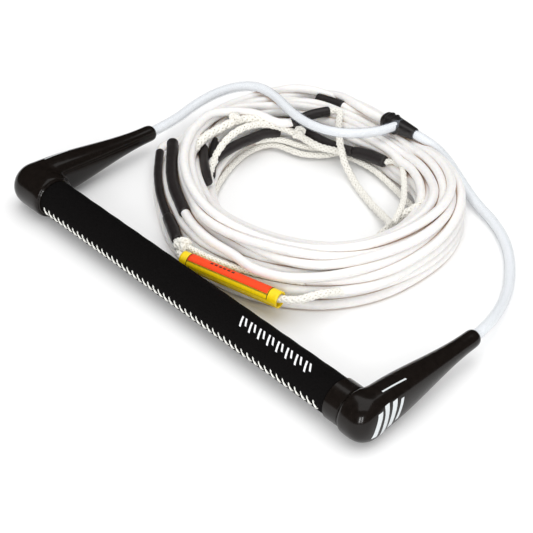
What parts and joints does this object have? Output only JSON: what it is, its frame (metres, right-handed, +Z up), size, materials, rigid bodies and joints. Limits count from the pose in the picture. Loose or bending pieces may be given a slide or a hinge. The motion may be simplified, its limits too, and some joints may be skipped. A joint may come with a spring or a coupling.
{
  "type": "tow rope handle",
  "caption": "Padded tow bar with moulded end caps on a two-legged rope bridle, joined to a coated tow line that lies in a loose coil behind it.",
  "frame": {"origin": "under the middle of the handle, on the surface that it lies on, measured without the ropes", "axes": "+X along the bar towards the right-hand cap, +Y from the bar towards the yoke, +Z up"},
  "size_m": [0.374, 0.2748, 0.0392],
  "materials": {
    "tube_metal": "drawn",
    "foam": "closed-cell foam",
    "grip_fabric": "napped, matte",
    "stitch_thread": "waxed thread",
    "plug_rubber": "moulded",
    "cap_gloss": "gloss",
    "bridle_rope": "clear jacket over a white braid",
    "joint_black": "satin",
    "coated_line": "satin coating",
    "shrink_sleeve": "satin",
    "braid_cord": "braided",
    "tag_yellow": "satin",
    "tag_orange": "printed"
  },
  "bodies": {
    "handle": {"bar_plug_left": "plug_rubber", "bar_plug_right": "plug_rubber", "bar_tube": "tube_metal", "braid_far_loop": "braid_cord", "braid_hanging_loop": "braid_cord", "braid_inner_loop": "braid_cord", "braid_knots": "braid_cord", "braid_left_loop": "braid_cord", "braid_low_loop": "braid_cord", "braid_low_run": "braid_cord", "braid_low_twin": "braid_cord", "braid_right_tail": "braid_cord", "braid_tag_loop": "braid_cord", "braid_tag_return": "braid_cord", "bridle_left": "bridle_rope", "bridle_right": "bridle_rope", "cap_knot_left": "bridle_rope", "cap_knot_right": "bridle_rope", "collar_left": "cap_gloss", "collar_right": "cap_gloss", "end_cap_left": "cap_gloss", "end_cap_right": "cap_gloss", "foam_sleeve": "foam", "grip_cover": "grip_fabric", "lead_line": "coated_line", "line_section_1": "coated_line", "line_section_2": "coated_line", "line_section_3": "coated_line", "line_section_4": "coated_line", "line_section_5": "coated_line", "seam_stitches": "stitch_thread", "sleeve_back": "shrink_sleeve", "sleeve_back_splice": "shrink_sleeve", "sleeve_far": "shrink_sleeve", "sleeve_inner_a": "shrink_sleeve", "sleeve_inner_b": "shrink_sleeve", "sleeve_inner_back": "shrink_sleeve", "sleeve_left": "shrink_sleeve", "sleeve_outer": "shrink_sleeve", "sleeve_outer_splice": "shrink_sleeve", "sleeve_under": "shrink_sleeve", "sleeve_upper": "shrink_sleeve", "yoke": "joint_black"},
    "tag": {"tag_tube": "tag_yellow", "tag_label": "tag_orange"}
  },
  "joints": [
    {"name": "tag_spin", "type": "hinge", "parent": "handle", "child": "tag", "pos_m": [0.0125, -0.018, 0.0175], "axis": [0.9736, 0.2284, 0], "continuous": true}
  ]
}
